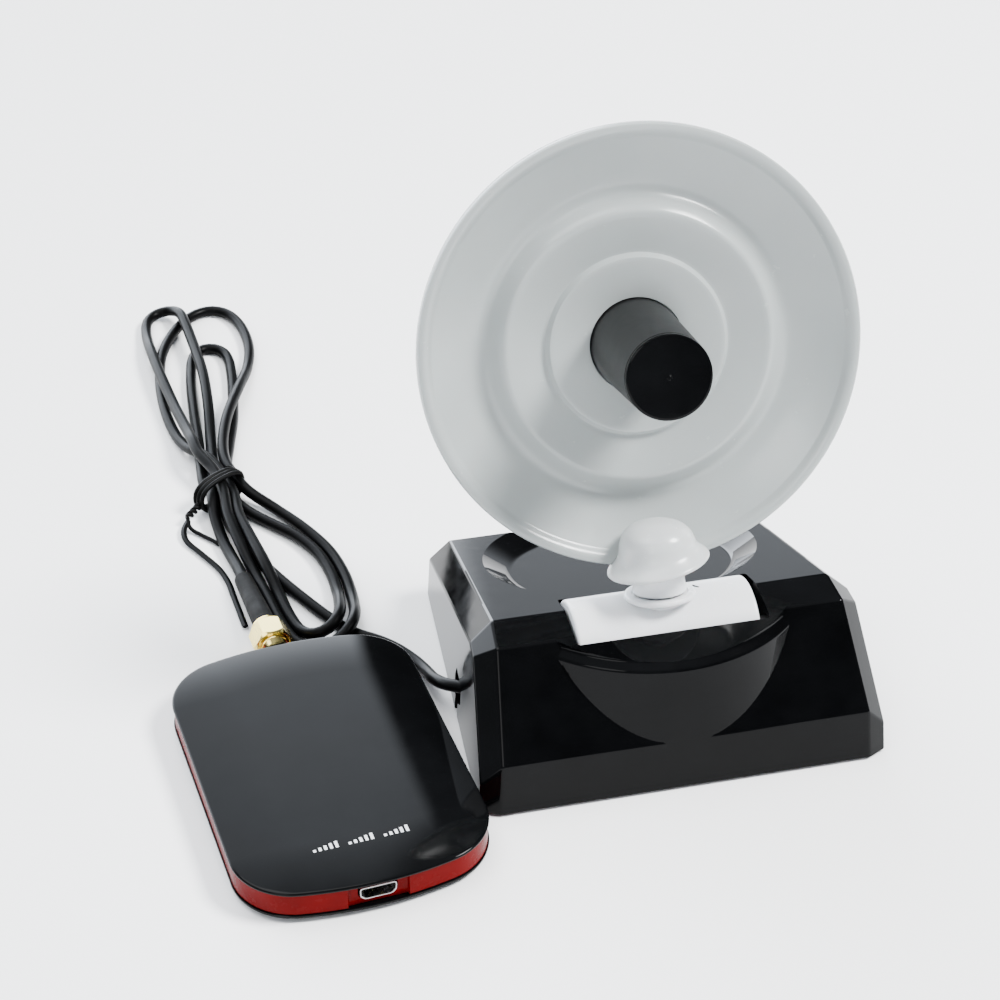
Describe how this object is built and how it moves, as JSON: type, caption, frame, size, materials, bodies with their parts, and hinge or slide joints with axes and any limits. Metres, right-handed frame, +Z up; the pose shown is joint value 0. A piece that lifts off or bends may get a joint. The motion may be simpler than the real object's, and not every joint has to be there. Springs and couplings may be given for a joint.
{
  "type": "usb wireless adapter with dish aerial",
  "caption": "Flat USB wireless adapter joined by a thin coaxial lead to a small tilting and swivelling dish aerial on a weighted desk base.",
  "frame": {"origin": "middle of the dish base's underside, on the non-slip pad", "axes": "+X to the right of the dish as its feed faces the viewer, +Y to the back of the base, +Z up"},
  "size_m": [0.1476, 0.2454, 0.1261],
  "materials": {
    "gloss_black": "high gloss moulded ABS",
    "matt_black": "fine matt texture",
    "white_plastic": "satin gloss moulded ABS",
    "pale_plastic": "satin gloss moulded ABS",
    "red_band": "satin translucent red",
    "black_rubber": "matt",
    "cable_jacket": "satin PVC",
    "tie_wire": "matt PVC over wire",
    "gold_brass": "gold plated",
    "plated_steel": "plated",
    "circuit_board": "solder mask",
    "light_diffuser": "clear"
  },
  "bodies": {
    "base": {"adapter_band": "red_band", "adapter_board": "circuit_board", "adapter_bottom_cover": "gloss_black", "adapter_foot_1": "black_rubber", "adapter_foot_2": "black_rubber", "adapter_foot_3": "black_rubber", "adapter_foot_4": "black_rubber", "adapter_top_cover": "gloss_black", "ballast_plate": "plated_steel", "base_plate": "matt_black", "base_screw_1": "plated_steel", "base_screw_2": "plated_steel", "base_screw_3": "plated_steel", "base_screw_4": "plated_steel", "base_shell": "gloss_black", "cord_boot": "black_rubber", "cord_grommet": "black_rubber", "cord_hank": "cable_jacket", "cord_lead_adapter": "cable_jacket", "cord_lead_base": "cable_jacket", "friction_washer_left": "black_rubber", "friction_washer_right": "black_rubber", "internal_coax": "cable_jacket", "micro_usb_shell": "plated_steel", "micro_usb_tongue": "matt_black", "non_slip_pad": "black_rubber", "pivot_pin_left": "plated_steel", "pivot_pin_right": "plated_steel", "shield_can": "plated_steel", "sma_jack": "gold_brass", "sma_plug_body": "gold_brass", "status_light": "light_diffuser", "twist_tie": "tie_wire", "twist_tie_tail": "tie_wire", "usb_bridge_chip": "matt_black"},
    "hinge": {"hinge_bar": "white_plastic", "swivel_washer": "black_rubber"},
    "head": {"swivel_neck": "white_plastic", "head_cap": "white_plastic", "dish_reflector": "pale_plastic", "dish_back_hub": "pale_plastic", "feed_tube": "matt_black", "feed_cap": "gloss_black", "feed_probe": "gold_brass", "feed_nut": "gold_brass", "feed_pigtail": "cable_jacket"},
    "coupling_nut": {"sma_nut": "gold_brass"}
  },
  "joints": [
    {"name": "bar_tilt", "type": "hinge", "parent": "base", "child": "hinge", "pos_m": [0, -0.017, 0.0236], "axis": [-1, 0, 0], "range_deg": [-10, 20]},
    {"name": "head_swivel", "type": "hinge", "parent": "hinge", "child": "head", "pos_m": [-0.0008, -0.0161, 0.0348], "axis": [0, 0.3067, 0.9518], "range_deg": [-90, 90]},
    {"name": "sma_nut_spin", "type": "hinge", "parent": "base", "child": "coupling_nut", "pos_m": [-0.07782, 0.02521, 0.0048], "axis": [-0.1019, 0.9948, 0], "continuous": true}
  ]
}
